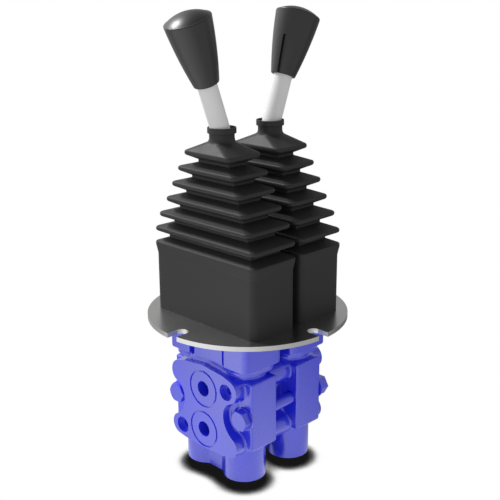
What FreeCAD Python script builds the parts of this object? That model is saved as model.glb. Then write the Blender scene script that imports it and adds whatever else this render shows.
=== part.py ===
import FreeCAD, Part
import math
import os

from FreeCAD import Vector as V

# Two-section hydraulic pilot valve with cranked hand levers. Lengths are in millimetres, angles in degrees.
# +Z is up and z = 0 is the underside of the round mounting plate. +X runs from the front section to the
# rear one, and the levers swing along Y. In each section the +Y side is the push side and the -Y side is
# the pull side.

os.makedirs("parts", exist_ok=True)

# Clearances and fits
running_gap = 0.03          # radial: plungers in guides, spools in bores, bushes on the pivot pins
loose_gap = 0.25            # radial, screws and bolts in clearance holes
seal_gap = 0.15             # radial, wipers around the plungers
cam_gap = 0.2               # between a rocker's arm and the dome of the plunger under it
side_gap = 0.1              # between a bush's flange and the bracket's cheek
boot_gap = 0.8              # radial, between a boot's neck and the lever rod
lip_gap = 2.2               # radial, between a boot's lip and the lever rod
boot_side_gap = 1.9         # between a boot's rim and the plane between the sections
pin_end_gap = 2.0           # between a pivot pin's end and the boot frame
bracket_end_gap = 1.1       # between a pivot bracket's end and the boot frame's foot
chamber_gap = 0.7           # radial, around a plunger's collar
spring_inset = 0.2          # radial, from a collar's edge to the return spring on it
frame_head_gap = 0.2        # around the heads of the boot frame's screws

# Mounting plate
plate_dia = 130.0
plate_thick = 3.0
slot_width = 8.4
slot_length = 12.0
seat_groove_dia = 109.2     # relief groove under the plate, around the cut-out of the panel it sits on
seat_groove_width = 0.6
seat_groove_depth = 0.3

# Sections
section_pitch = 42.0
plunger_pitch = 34.5

# Casting: lobed flange seen along X
flange_reach = 19.5         # from a section's centre to its outer machined face
flange_top = -24.7
flange_bottom = -82.8
flange_stretches = [        # half of the outline, downwards: a point passed through on an arc, and the end
    (None, (17.8, -26.5)),
    (None, (23.5, -28.1)),
    ((30.1, -36.0), (26.5, -42.7)),
    ((20.2, -46.9), (18.2, -54.0)),
    ((20.4, -61.7), (26.6, -67.6)),
    ((30.2, -74.3), (24.8, -80.9)),
    (None, (17.0, -82.0)),
    (None, (0.0, flange_bottom)),
]

# Casting: slabs that the tie bolts clamp
slab_width = 23.0
slab_edge = 6.0             # from a tie bolt's axis to the slab's end
slab_top = -30.0
slab_bottom = -76.5
slab_round = 1.2

# Casting: bosses of the working ports, and the web between them
boss_dia = 28.0
boss_foot = -101.0
web_thick = 19.0

# Casting: head under the plate
head_width = 33.0
head_span = 71.0
head_depth = 22.2
head_corner = 4.0
head_groove = 2.5
head_groove_depth = 5.0
head_groove_y = 14.5
head_setback = 1.5
ledge_depth = 3.7
ledge_inset = 1.0
ledge_corner = 10.0

# Ports and drillings
port_face_dia = 25.3
port_face_depth = 1.0
port_groove_width = 1.3     # ring groove around the sealing face of a port in the flange
port_hole_dia = 10.4
port_hole_depth = 14.0
gallery_dia = 8.0
tank_z = -41.0
pressure_z = -69.4
cross_dia = 5.0
ear_hole_dia = 10.75
ear_hole_spare = 0.5        # depth left behind an ear's plug
ear_hole_half = 20.7
upper_ear_hole_z = -36.8
lower_ear_hole_z = -73.8
ear_plug_recess = 3.5
ear_plug_length = 5.0
plug_socket_across = 5.0

# Plunger guides
guide_dia = 20.0
guide_length = 19.0
guide_seal_z = -11.0
guide_seal_width = 2.4
guide_seal_depth = 1.7
wiper_dia = 15.4
wiper_height = 3.2
plate_bore_dia = 14.0

# Plungers, spring seats and spools
plunger_dia = 10.0
collar_dia = 15.6
collar_thick = 3.0
collar_drop = 8.0           # from the guide's lower end to the top of the plunger's collar
plunger_hollow_dia = 8.6
plunger_hollow_depth = 18.0
seat_thick = 2.0
seat_hole_dia = 6.0
chamber_floor = -52.0
spool_dia = 8.0
spool_shoulder = 6.0        # top of the spool's spring collar above the chamber's floor
spool_stem_dia = 4.6
spool_head_dia = 7.4
spool_head_thick = 2.0
spool_head_lift = 10.0      # underside of the spool's head above the spring seat
spool_port_gap = 3.0        # between the spool's foot and the working port's hole
spool_collar_dia = 9.6
spool_collar_thick = 1.5
spool_drill_dia = 3.0
spool_waist_dia = 5.6
spool_waist_length = 7.0
annulus_dia = 11.0
annulus_length = 6.0

# Springs
return_wire = 1.8
return_turns = 5.0
metering_wire = 1.0
metering_mean_dia = 7.0
metering_turns = 6.0

# Pivot bracket, pin and clips
pivot_height = 22.0         # pivot axis above the plate
bracket_thick = 3.0
bracket_end = 0.3           # bracket beyond the heads of its end screws
cheek_radius = 8.0
cheek_foot_half = 13.0
pin_dia = 8.0
pin_end = 0.4               # pin beyond each clip
clip_dia = 12.0
clip_thick = 0.7
clip_groove_depth = 0.7
clip_opening = 5.0

# Rocker
rocker_hub_dia = 18.0
rocker_arm_width = 13.0
rocker_arm_thick = 7.2
rocker_arm_corner = 5.5
rocker_arm_overhang = 5.4
rocker_neck_dia = 18.0
rocker_top = 19.0           # top of the threaded neck above the pivot
bush_wall = 1.0
bush_parting = 2.0          # between the inner ends of a hub's two bushes
bush_flange_dia = 13.0
bush_flange_thick = 0.5

# Lever
stud_dia = 10.0
stud_depth = 10.0
nut_across = 16.0
nut_height = 6.0
stud_show = 1.5
lever_dia = 12.0
bend_z = 119.5
bend_angle = 20.5
bend_radius = 20.0
lever_chamfer = 1.0

# Knob
knob_start = 33.2           # knob's lower end, measured along the cranked stretch from the bend
knob_length = 39.6
knob_foot_dia = 15.9
knob_top_dia = 28.4
knob_bulge = 0.7
knob_dome = 4.0
knob_edge = 0.9
knob_seat = 4.0
knob_slot_width = 1.6
knob_slot_depth = 1.6
knob_slot_length = 23.5
knob_slot_turn = 18.0       # slot's place, turned from the inner side towards -Y
insert_dia = 12.0
insert_length = 20.0
insert_bore = 8.0
knob_hole_spare = 2.0

# Boot frame and boot
frame_wall = 2.0
frame_height = 32.0
frame_foot_thick = 2.0
frame_foot_width = 20.0
skirt_corner = 4.5
skirt_top = 40.5
rim_flare = 0.9
rim_z = 47.2
rim_band = 2.0
boot_wall = 1.6
boot_inner_corner = 0.8     # least corner radius inside the boot
pleat_band = 2.6
pleat_corner = 4.0
valley_band = 1.8
valley_inset_x = 6.3
valley_inset_y = 8.6
valley_corner = 3.0
first_pleat_rise = 9.6      # from the skirt's rim to the lowest pleat
pleats = [                  # of each pleat's edge: distance in X from the plane between the sections, and
    (2.1, 45.2),            # half length in Y
    (2.0, 40.7),
    (3.7, 35.6),
    (4.6, 30.9),
    (5.6, 26.0),
    (6.7, 20.9),
]
cone_height = 7.3           # from the top pleat to the neck
neck_wall = 0.95
neck_roundness = 0.95       # of the loft's last level, which meets the round neck
neck_drop = 3.9             # neck's foot below the rod's bend
lip_wall = 0.65
lip_height = 3.6
lip_rise = 4.7              # lip's top above the rod's bend

# Screws
bracket_screw_dia = 4.0
bracket_screw_head_dia = 7.0
bracket_screw_head = 4.0
bracket_screw_length = 18.0
bracket_screw_wall = 0.95   # casting left between an end screw and the plunger guide
bracket_screw_socket = 3.0
frame_screw_dia = 3.0
frame_screw_head_dia = 5.5
frame_screw_head = 2.4
frame_screw_length = 4.6
frame_screw_x = 6.0
frame_screw_socket = 2.5

# Tie bolts
tie_dia = 8.0
tie_offset = 12.25          # from the plungers' axes outwards
tie_z = -54.5
tie_across = 12.0
tie_head = 4.8
tie_nut = 6.8
tie_washer_dia = 15.0
tie_washer_thick = 1.0
tie_face_dia = 16.0         # spotface for the washer, which also cuts the boss behind it
tie_end = 2.2
tie_chamfer = 0.8

# Gallery seals and closing plugs
gallery_seal_bore = 11.0
gallery_seal_wall = 2.2
gallery_seal_depth = 1.5
closing_plug_dia = 17.0
closing_plug_head = 4.5
closing_plug_thread = 11.0
closing_plug_socket = 6.0
closing_seal_dia = 17.8
closing_seal_thick = 1.5

# Places that several pieces share
plate_top = plate_thick
pivot_z = plate_top + pivot_height
dome_radius = plunger_dia / 2
guide_foot = -guide_length
collar_top = guide_foot - collar_drop
seat_foot = collar_top - collar_thick - seat_thick
spool_collar_top = chamber_floor + spool_shoulder
spool_foot = boss_foot + port_face_depth + port_hole_depth + spool_port_gap
chamber_dia = collar_dia + 2 * chamber_gap
return_mean_dia = collar_dia - 2 * spring_inset - return_wire
slab_face = section_pitch / 2 + slab_width / 2
outer_face = section_pitch / 2 + flange_reach
tie_y = plunger_pitch / 2 + tie_offset
slab_span = 2 * (tie_y + slab_edge)
lever_foot = pivot_z + rocker_top + nut_height + stud_show

# Across a section, from the boot's rim inwards to the rocker's hub
skirt_half_x = section_pitch / 2 - boot_side_gap - rim_flare
pin_half = skirt_half_x - boot_wall - frame_wall - pin_end_gap
cheek_outer = pin_half - pin_end - clip_thick
rocker_hub_width = 2 * (cheek_outer - bracket_thick - side_gap - bush_flange_thick)
bush_length = (rocker_hub_width - bush_parting) / 2

# Along a section, from the plunger guides outwards to the boot's skirt
bracket_screw_y = plunger_pitch / 2 + guide_dia / 2 + bracket_screw_wall + bracket_screw_dia / 2
bracket_half = bracket_screw_y + bracket_screw_head_dia / 2 + bracket_end
frame_foot_length = frame_screw_head_dia + 2 * frame_head_gap
skirt_half_y = bracket_half + bracket_end_gap + frame_foot_length + frame_wall + boot_wall

# Up the boot
neck_bore = lever_dia / 2 + boot_gap
neck_radius = neck_bore + neck_wall
lip_bore = lever_dia / 2 + lip_gap
lip_radius = lip_bore + lip_wall
neck_z = bend_z - neck_drop
lip_top = bend_z + lip_rise
first_pleat_z = rim_z + first_pleat_rise
pleat_pitch = (neck_z - cone_height - first_pleat_z) / (len(pleats) - 1)

ALONG_X = V(1, 0, 0)
ALONG_Y = V(0, 1, 0)
ALONG_Z = V(0, 0, 1)


def save(shape, node):
    """Write one sub-part's solids to its own STEP file."""
    shape.exportStep("parts/" + node + ".step")


def group(solids):
    """Several separate solids that share one node."""
    return Part.makeCompound(solids)


def box(x0, x1, y0, y1, z0, z1):
    return Part.makeBox(x1 - x0, y1 - y0, z1 - z0, V(x0, y0, z0))


def bar(dia, start, direction, length):
    """Round bar of the given diameter from a point, along a direction."""
    return Part.makeCylinder(dia / 2, length, start, direction)


def ring(outer, inner, start, direction, length):
    return bar(outer, start, direction, length).cut(bar(inner, start, direction, length))


def tip_chamfer(dia, start, direction, length, chamfer):
    """Round bar with a chamfer at its far end."""
    tip = start + direction * (length - chamfer)
    cone = Part.makeCone(dia / 2, dia / 2 - chamfer, chamfer, tip, direction)
    return bar(dia, start, direction, length - chamfer).fuse(cone)


def hexagon(across, start, direction, length):
    """Hexagonal prism along X or Z, with a corner towards +Y when it lies along X."""
    radius = across / math.sqrt(3)
    side = ALONG_Y
    other = direction.cross(side)
    corners = []
    for step in range(7):
        angle = math.radians(60 * step)
        corners.append(start + side * (radius * math.cos(angle)) + other * (radius * math.sin(angle)))
    return Part.Face(Part.makePolygon(corners)).extrude(direction * length)


def rounded_wire(half_x, half_y, corner, z, centre_x=0.0):
    """Closed rectangle with rounded corners in a level plane: four lines and four arcs."""
    reach = corner * math.sqrt(0.5)
    edges = []
    turns = [(1, 1), (-1, 1), (-1, -1), (1, -1)]
    previous = None
    first = None
    for sx, sy in turns:
        cx = centre_x + sx * (half_x - corner)
        cy = sy * (half_y - corner)
        on_x = V(cx + sx * corner, cy, z)
        on_y = V(cx, cy + sy * corner, z)
        middle = V(cx + sx * reach, cy + sy * reach, z)
        start, end = (on_x, on_y) if sx == sy else (on_y, on_x)
        if previous is None:
            first = start
        else:
            edges.append(Part.LineSegment(previous, start).toShape())
        edges.append(Part.Arc(start, middle, end).toShape())
        previous = end
    edges.append(Part.LineSegment(previous, first).toShape())
    return Part.Wire(edges)


def rounded_block(half_x, half_y, corner, z0, z1, centre_x=0.0):
    face = Part.Face(rounded_wire(half_x, half_y, corner, z0, centre_x))
    return face.extrude(V(0, 0, z1 - z0))


def helical_spring(mean_dia, wire, turns, x, y, z0, z1):
    """Compression spring with both ends ground flat, standing between two levels."""
    height = z1 - z0
    helix = Part.makeHelix(height / turns, height, mean_dia / 2)
    section = Part.Wire(Part.Circle(V(mean_dia / 2, 0, 0), V(0, 1, 0), wire / 2).toShape())
    coil = Part.Wire(helix.Edges).makePipeShell([section], True, True)
    coil.translate(V(x, y, z0))
    reach = mean_dia
    return coil.common(box(x - reach, x + reach, y - reach, y + reach, z0, z1)).Solids[0]


def section_x(side):
    """Centre of a section: side is -1 for the front one and +1 for the rear one."""
    return side * section_pitch / 2


def plunger_places(side):
    """The push side lies at +Y and the pull side at -Y."""
    return [("push", section_x(side), plunger_pitch / 2), ("pull", section_x(side), -plunger_pitch / 2)]


def both_sections(make):
    """Solids of both sections, from a function that takes the side."""
    solids = []
    for side in (-1, 1):
        solids.extend(make(side))
    return solids


# Casting of one section
def lobed_flange(x0, x1):
    """Flange with two upper ears, two lower ears and a narrow waist, extruded along X."""
    edges = []
    for sign in (-1, 1):
        last = V(x0, 0, flange_top)
        for through, end in flange_stretches:
            end = V(x0, sign * end[0], end[1])
            if through is None:
                edges.append(Part.LineSegment(last, end).toShape())
            else:
                edges.append(Part.Arc(last, V(x0, sign * through[0], through[1]), end).toShape())
            last = end
    outline = Part.Wire(Part.__sortEdges__(edges))
    return Part.Face(outline).extrude(V(x1 - x0, 0, 0))


def head_block(x):
    """Head under the plate: two cheek blocks with a set-back middle, on a ledge with rounder corners."""
    top = rounded_block(head_width / 2, head_span / 2, head_corner, -head_depth, 0, x)
    ledge = rounded_block(head_width / 2 - ledge_inset, head_span / 2 - ledge_inset, ledge_corner,
                          -head_depth - ledge_depth, -head_depth, x)
    head = top.fuse(ledge)
    lowest = -head_depth - ledge_depth
    for sign in (-1, 1):
        face = x + sign * head_width / 2
        inner = face - sign * head_groove_depth
        setback = face - sign * head_setback
        x0, x1 = sorted((face, inner))
        for y in (-head_groove_y, head_groove_y):
            groove = box(x0, x1, y - head_groove / 2, y + head_groove / 2, -head_depth, 0)
            head = head.cut(groove)
        x0, x1 = sorted((face, setback))
        head = head.cut(box(x0, x1, -head_groove_y, head_groove_y, lowest, 0))
    return head


def casting_blank(x):
    flange = lobed_flange(x - flange_reach, 0)
    slab = box(x - slab_width / 2, x + slab_width / 2, -slab_span / 2, slab_span / 2, slab_bottom, slab_top)
    slab = slab.makeFillet(slab_round, slab.Edges)
    web = box(x - web_thick / 2, x + web_thick / 2, -plunger_pitch / 2, plunger_pitch / 2,
              boss_foot, flange_top)
    blank = flange.fuse([slab, web, head_block(x)])
    for _, px, py in plunger_places(-1):
        blank = blank.fuse(bar(boss_dia, V(px, py, boss_foot), ALONG_Z, -head_depth - boss_foot))
    return blank.removeSplitter()


def plunger_bore(px, py):
    """All that is bored from above and below on one plunger's axis."""
    cuts = [
        bar(guide_dia, V(px, py, guide_foot), ALONG_Z, guide_length),
        bar(chamber_dia, V(px, py, chamber_floor), ALONG_Z, guide_foot - chamber_floor),
        bar(spool_dia + 2 * running_gap, V(px, py, boss_foot), ALONG_Z, chamber_floor - boss_foot),
        bar(annulus_dia, V(px, py, pressure_z - annulus_length / 2), ALONG_Z, annulus_length),
        bar(port_hole_dia, V(px, py, boss_foot), ALONG_Z, port_hole_depth + port_face_depth),
        bar(port_face_dia, V(px, py, boss_foot), ALONG_Z, port_face_depth),
    ]
    return cuts[0].fuse(cuts[1:])


def valve_body():
    """Casting of the front section; the rear one is the same casting turned half round."""
    x = section_x(-1)
    body = casting_blank(x)
    cuts = [plunger_bore(px, py) for _, px, py in plunger_places(-1)]
    face_x = -outer_face
    for z in (tank_z, pressure_z):
        cuts.append(bar(gallery_dia, V(face_x, 0, z), ALONG_X, outer_face))
        cuts.append(bar(port_hole_dia, V(face_x, 0, z), ALONG_X, port_hole_depth))
        cuts.append(ring(port_face_dia, port_face_dia - 2 * port_groove_width, V(face_x, 0, z), ALONG_X,
                         port_face_depth))
        cuts.append(bar(cross_dia, V(x, -plunger_pitch / 2, z), ALONG_Y, plunger_pitch))
    ear_hole_depth = ear_plug_recess + ear_plug_length + ear_hole_spare
    for y, z in ear_holes():
        cuts.append(bar(ear_hole_dia, V(face_x, y, z), ALONG_X, ear_hole_depth))
        cuts.append(bar(cross_dia, V(face_x, y, z), ALONG_X, flange_reach))
    for y in tie_places():
        cuts.append(bar(tie_dia + 2 * loose_gap, V(-slab_face, y, tie_z), ALONG_X, slab_face))
        cuts.append(bar(tie_face_dia, V(-slab_face, y, tie_z), -ALONG_X, flange_reach))
    for y in bracket_screw_places():
        depth = bracket_screw_length - bracket_thick - plate_thick
        cuts.append(bar(bracket_screw_dia, V(x, y, -depth), ALONG_Z, depth))
    for cut in cuts:
        body = body.cut(cut)
    return body


def seal_groove(z):
    """Face groove for the seal between the sections, cut in the front casting only."""
    outer = gallery_seal_bore + 2 * gallery_seal_wall
    return ring(outer, gallery_seal_bore, V(-gallery_seal_depth, 0, z), ALONG_X, gallery_seal_depth)


def turned_half_round(shape):
    turned = shape.copy()
    turned.rotate(V(0, 0, 0), ALONG_Z, 180)
    return turned


def ear_holes():
    """Two of the four ears are drilled: the upper one at -Y and the lower one at +Y."""
    return [(-ear_hole_half, upper_ear_hole_z), (ear_hole_half, lower_ear_hole_z)]


def ear_plugs():
    """Threaded plugs with a hexagonal socket, sunk in the drilled ears."""
    plugs = []
    for y, z in ear_holes():
        start = V(-outer_face + ear_plug_recess, y, z)
        plug = bar(ear_hole_dia, start, ALONG_X, ear_plug_length)
        socket = hexagon(plug_socket_across, start, ALONG_X, ear_plug_length / 2)
        plugs.append(plug.cut(socket))
    return plugs + [turned_half_round(plug) for plug in plugs]


# Plate
def mounting_plate():
    plate = bar(plate_dia, V(0, 0, 0), ALONG_Z, plate_thick)
    plate = plate.cut(ring(seat_groove_dia, seat_groove_dia - 2 * seat_groove_width, V(0, 0, 0), ALONG_Z,
                           seat_groove_depth))
    inner = plate_dia / 2 - slot_length + slot_width / 2
    slot = bar(slot_width, V(inner, 0, 0), ALONG_Z, plate_thick)
    slot = slot.fuse(box(inner, plate_dia, -slot_width / 2, slot_width / 2, 0, plate_thick))
    for quarter in range(4):
        cut = slot.copy()
        cut.rotate(V(0, 0, 0), ALONG_Z, 90 * quarter)
        plate = plate.cut(cut)
    for side in (-1, 1):
        for _, px, py in plunger_places(side):
            plate = plate.cut(bar(plate_bore_dia, V(px, py, 0), ALONG_Z, plate_thick))
        for y in bracket_screw_places():
            hole = bar(bracket_screw_dia + 2 * loose_gap, V(section_x(side), y, 0), ALONG_Z, plate_thick)
            plate = plate.cut(hole)
        for fx, fy in frame_screw_places(side):
            depth = frame_screw_length - frame_foot_thick
            plate = plate.cut(bar(frame_screw_dia, V(fx, fy, plate_top - depth), ALONG_Z, depth))
    return plate


# Screws that hold the bracket and the boot frame
def bracket_screw_places():
    return [-bracket_screw_y, 0.0, bracket_screw_y]


def frame_screw_places(side):
    y = skirt_half_y - boot_wall - frame_wall - frame_foot_length / 2
    x = section_x(side)
    return [(x + sx * frame_screw_x, sy * y) for sx in (-1, 1) for sy in (-1, 1)]


def cap_screw(x, y, under_head, dia, head_dia, head, length, socket):
    """Cap screw that points down, with its head's underside at the given level."""
    screw = bar(head_dia, V(x, y, under_head), ALONG_Z, head)
    screw = screw.fuse(bar(dia, V(x, y, under_head - length), ALONG_Z, length))
    return screw.cut(hexagon(socket, V(x, y, under_head + head / 2), ALONG_Z, head / 2))


def bracket_screws(side):
    under_head = plate_top + bracket_thick
    return [cap_screw(section_x(side), y, under_head, bracket_screw_dia, bracket_screw_head_dia,
                      bracket_screw_head, bracket_screw_length, bracket_screw_socket)
            for y in bracket_screw_places()]


def frame_screws(side):
    return [cap_screw(x, y, plate_top + frame_foot_thick, frame_screw_dia, frame_screw_head_dia,
                      frame_screw_head, frame_screw_length, frame_screw_socket)
            for x, y in frame_screw_places(side)]


# Plunger guides and their seals
def guides(side):
    made = []
    groove_dia = guide_dia - 2 * guide_seal_depth
    for _, px, py in plunger_places(side):
        guide = bar(guide_dia, V(px, py, guide_foot), ALONG_Z, guide_length)
        guide = guide.cut(bar(plunger_dia + 2 * running_gap, V(px, py, guide_foot), ALONG_Z, guide_length))
        guide = guide.cut(bar(wiper_dia, V(px, py, -wiper_height), ALONG_Z, wiper_height))
        groove = ring(guide_dia, groove_dia, V(px, py, guide_seal_z), ALONG_Z, guide_seal_width)
        made.append(guide.cut(groove))
    return made


def guide_seals(side):
    groove_dia = guide_dia - 2 * guide_seal_depth
    return [ring(guide_dia, groove_dia, V(px, py, guide_seal_z), ALONG_Z, guide_seal_width)
            for _, px, py in plunger_places(side)]


def wipers(side):
    return [ring(wiper_dia, plunger_dia + 2 * seal_gap, V(px, py, -wiper_height), ALONG_Z, wiper_height)
            for _, px, py in plunger_places(side)]


# Plunger, spring seat, spool and springs of one side of one section
def plunger(px, py):
    """Hollow plunger with a domed top, and a collar that carries the spring seat."""
    stem = bar(plunger_dia, V(px, py, collar_top), ALONG_Z, pivot_z - collar_top)
    dome = Part.makeSphere(dome_radius, V(px, py, pivot_z))
    collar = bar(collar_dia, V(px, py, collar_top - collar_thick), ALONG_Z, collar_thick)
    hollow_foot = collar_top - collar_thick
    hollow = bar(plunger_hollow_dia, V(px, py, hollow_foot), ALONG_Z, plunger_hollow_depth)
    return stem.fuse([dome, collar]).cut(hollow).removeSplitter()


def spring_seat(px, py):
    return ring(collar_dia, seat_hole_dia, V(px, py, seat_foot), ALONG_Z, seat_thick)


def spool(px, py):
    """Metering spool: a land with a waist, an axial drilling, a spring collar, and a stem with a head."""
    land_top = spool_collar_top - spool_collar_thick
    land = bar(spool_dia, V(px, py, spool_foot), ALONG_Z, land_top - spool_foot)
    waist_foot = pressure_z + annulus_length / 2
    waist = ring(spool_dia, spool_waist_dia, V(px, py, waist_foot), ALONG_Z, spool_waist_length)
    collar = bar(spool_collar_dia, V(px, py, land_top), ALONG_Z, spool_collar_thick)
    head_foot = seat_foot + seat_thick + spool_head_lift
    stem = bar(spool_stem_dia, V(px, py, land_top), ALONG_Z, head_foot - land_top)
    head = bar(spool_head_dia, V(px, py, head_foot), ALONG_Z, spool_head_thick)
    drill_top = waist_foot + spool_waist_length / 2
    drill = bar(spool_drill_dia, V(px, py, spool_foot), ALONG_Z, drill_top - spool_foot)
    cross = bar(spool_drill_dia, V(px, py - spool_dia / 2, drill_top), ALONG_Y, spool_dia)
    return land.cut(waist).fuse([collar, stem, head]).cut(drill).cut(cross).removeSplitter()


def return_spring(px, py):
    return helical_spring(return_mean_dia, return_wire, return_turns, px, py, chamber_floor, seat_foot)


def metering_spring(px, py):
    return helical_spring(metering_mean_dia, metering_wire, metering_turns, px, py,
                          spool_collar_top, seat_foot)


# Pivot bracket, its pin and clips
def pivot_bracket(side):
    """Base strip on the plate with two upright cheeks that hold the pivot pin."""
    x = section_x(side)
    base = box(x - cheek_outer, x + cheek_outer, -bracket_half, bracket_half, plate_top,
               plate_top + bracket_thick)
    for sign in (-1, 1):
        x0, x1 = sorted((x + sign * (cheek_outer - bracket_thick), x + sign * cheek_outer))
        foot = plate_top + bracket_thick
        outline = [(-cheek_foot_half, foot), (cheek_foot_half, foot), (cheek_radius, pivot_z),
                   (-cheek_radius, pivot_z), (-cheek_foot_half, foot)]
        cheek = Part.Face(Part.makePolygon([V(x0, y, z) for y, z in outline])).extrude(V(x1 - x0, 0, 0))
        cheek = cheek.fuse(bar(2 * cheek_radius, V(x0, 0, pivot_z), ALONG_X, x1 - x0))
        base = base.fuse(cheek)
    base = base.cut(bar(pin_dia, V(x - cheek_outer, 0, pivot_z), ALONG_X, 2 * cheek_outer))
    for _, px, py in plunger_places(side):
        base = base.cut(bar(plate_bore_dia, V(px, py, plate_top), ALONG_Z, bracket_thick))
    for y in bracket_screw_places():
        hole_dia = bracket_screw_dia + 2 * loose_gap
        base = base.cut(bar(hole_dia, V(x, y, plate_top), ALONG_Z, bracket_thick))
    return base.removeSplitter()


def clip_starts(side):
    """Where each clip lies against its cheek, and which way it faces."""
    x = section_x(side)
    return [(x + sign * cheek_outer, sign) for sign in (-1, 1)]


def pivot_pin(side):
    pin = bar(pin_dia, V(section_x(side) - pin_half, 0, pivot_z), ALONG_X, 2 * pin_half)
    for start, sign in clip_starts(side):
        groove_dia = pin_dia - 2 * clip_groove_depth
        groove = ring(pin_dia, groove_dia, V(start, 0, pivot_z), ALONG_X * sign, clip_thick)
        pin = pin.cut(groove)
    return [pin]


def pivot_clips(side):
    clips = []
    for start, sign in clip_starts(side):
        inner = pin_dia - 2 * clip_groove_depth
        clip = ring(clip_dia, inner, V(start, 0, pivot_z), ALONG_X * sign, clip_thick)
        x0, x1 = sorted((start, start + sign * clip_thick))
        opening = box(x0, x1, -clip_opening / 2, clip_opening / 2, pivot_z - clip_dia, pivot_z)
        clips.append(clip.cut(opening))
    return clips


# Lever: rocker, bushes, rod, lock nut, knob and insert
def rocker(side):
    """Hub on the pivot, two arms that press the plungers, and a threaded neck for the rod."""
    x = section_x(side)
    arm_half = plunger_pitch / 2 + rocker_arm_overhang
    arm_foot = pivot_z + dome_radius + cam_gap
    hub = bar(rocker_hub_dia, V(x - rocker_hub_width / 2, 0, pivot_z), ALONG_X, rocker_hub_width)
    arms = rounded_block(rocker_arm_width / 2, arm_half, rocker_arm_corner, arm_foot,
                         arm_foot + rocker_arm_thick, x)
    neck = bar(rocker_neck_dia, V(x, 0, pivot_z), ALONG_Z, rocker_top)
    trim = box(x - rocker_hub_width / 2, x + rocker_hub_width / 2, -arm_half, arm_half,
               pivot_z - rocker_hub_dia, pivot_z + rocker_top)
    body = hub.fuse([arms, neck]).common(trim)
    bush_dia = pin_dia + 2 * running_gap + 2 * bush_wall
    body = body.cut(bar(bush_dia, V(x - rocker_hub_width / 2, 0, pivot_z), ALONG_X, rocker_hub_width))
    stud_foot = pivot_z + rocker_top - stud_depth
    return body.cut(bar(stud_dia, V(x, 0, stud_foot), ALONG_Z, stud_depth)).removeSplitter()


def pivot_bushes(side):
    """Two flanged bushes pressed into the hub, one from each side."""
    x = section_x(side)
    bore = pin_dia + 2 * running_gap
    bushes = []
    for sign in (-1, 1):
        out = ALONG_X * sign
        start = V(x + sign * (rocker_hub_width / 2 - bush_length), 0, pivot_z)
        sleeve = bar(bore + 2 * bush_wall, start, out, bush_length)
        flange = bar(bush_flange_dia, start + out * bush_length, out, bush_flange_thick)
        hole = bar(bore, start, out, bush_length + bush_flange_thick)
        bushes.append(sleeve.fuse(flange).cut(hole))
    return bushes


def crank_direction(side):
    angle = math.radians(bend_angle)
    return V(side * math.sin(angle), 0, math.cos(angle))


def lever_rod(side):
    """Rod with a threaded foot, one bend outwards, and a thin end inside the knob."""
    x = section_x(side)
    out = crank_direction(side)
    bend = V(x, 0, bend_z)
    trim = bend_radius * math.tan(math.radians(bend_angle / 2))
    first = bend - ALONG_Z * trim
    last = bend + out * trim
    half_turn = math.radians(bend_angle / 2)
    centre = V(x + side * bend_radius, 0, first.z)
    middle = centre + V(-side * math.cos(half_turn), 0, math.sin(half_turn)) * bend_radius
    foot = V(x, 0, lever_foot)
    end = bend + out * (knob_start + knob_seat)
    path = Part.Wire([
        Part.LineSegment(foot, first).toShape(),
        Part.Arc(first, middle, last).toShape(),
        Part.LineSegment(last, end).toShape(),
    ])
    section = Part.Wire(Part.Circle(foot, ALONG_Z, lever_dia / 2).toShape())
    rod = path.makePipeShell([section], True, True)
    stud_foot = pivot_z + rocker_top - stud_depth
    stud = bar(stud_dia, V(x, 0, stud_foot), ALONG_Z, lever_foot - stud_foot)
    tip = tip_chamfer(insert_bore, end, out, insert_length, lever_chamfer)
    return rod.fuse([stud, tip])


def lock_nut(side):
    x = section_x(side)
    start = V(x, 0, pivot_z + rocker_top)
    return hexagon(nut_across, start, ALONG_Z, nut_height).cut(bar(stud_dia, start, ALONG_Z, nut_height))


def knob(side):
    """Barrel-shaped grip with a domed top and a narrow slot up its inner side, turned about the rod."""
    foot = knob_foot_dia / 2
    top = knob_top_dia / 2
    waist = (foot + top) / 2 + knob_bulge
    slant = math.sqrt(0.5)
    dome_half = (top - knob_edge) / 2
    sphere = (4 * dome_half ** 2 + knob_dome ** 2) / (2 * knob_dome)
    dome_middle = V(dome_half, 0, knob_length + knob_dome - sphere + math.sqrt(sphere ** 2 - dome_half ** 2))
    profile = Part.Wire([
        Part.LineSegment(V(0, 0, 0), V(foot - knob_edge, 0, 0)).toShape(),
        Part.Arc(V(foot - knob_edge, 0, 0), V(foot - knob_edge * (1 - slant), 0, knob_edge * (1 - slant)),
                 V(foot, 0, knob_edge)).toShape(),
        Part.Arc(V(foot, 0, knob_edge), V(waist, 0, knob_length / 2),
                 V(top, 0, knob_length - knob_edge)).toShape(),
        Part.Arc(V(top, 0, knob_length - knob_edge),
                 V(top - knob_edge * (1 - slant), 0, knob_length - knob_edge * (1 - slant)),
                 V(top - knob_edge, 0, knob_length)).toShape(),
        Part.Arc(V(top - knob_edge, 0, knob_length), dome_middle, V(0, 0, knob_length + knob_dome)).toShape(),
        Part.LineSegment(V(0, 0, knob_length + knob_dome), V(0, 0, 0)).toShape(),
    ])
    body = Part.Face(profile).revolve(V(0, 0, 0), ALONG_Z, 360)
    body = body.cut(bar(lever_dia, V(0, 0, 0), ALONG_Z, knob_seat))
    body = body.cut(bar(insert_dia, V(0, 0, knob_seat), ALONG_Z, insert_length + knob_hole_spare))
    slope = math.degrees(math.atan2(top - foot, knob_length))
    slot = box(-knob_slot_depth, knob_top_dia, -knob_slot_width / 2, knob_slot_width / 2, 0, knob_slot_length)
    slot.rotate(V(0, 0, 0), ALONG_Y, slope)
    slot.translate(V(foot, 0, 0))
    inner_side = 0 if side < 0 else 180
    slot.rotate(V(0, 0, 0), ALONG_Z, inner_side + side * knob_slot_turn)
    body = body.cut(slot)
    return place_on_crank(body, side)


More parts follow.
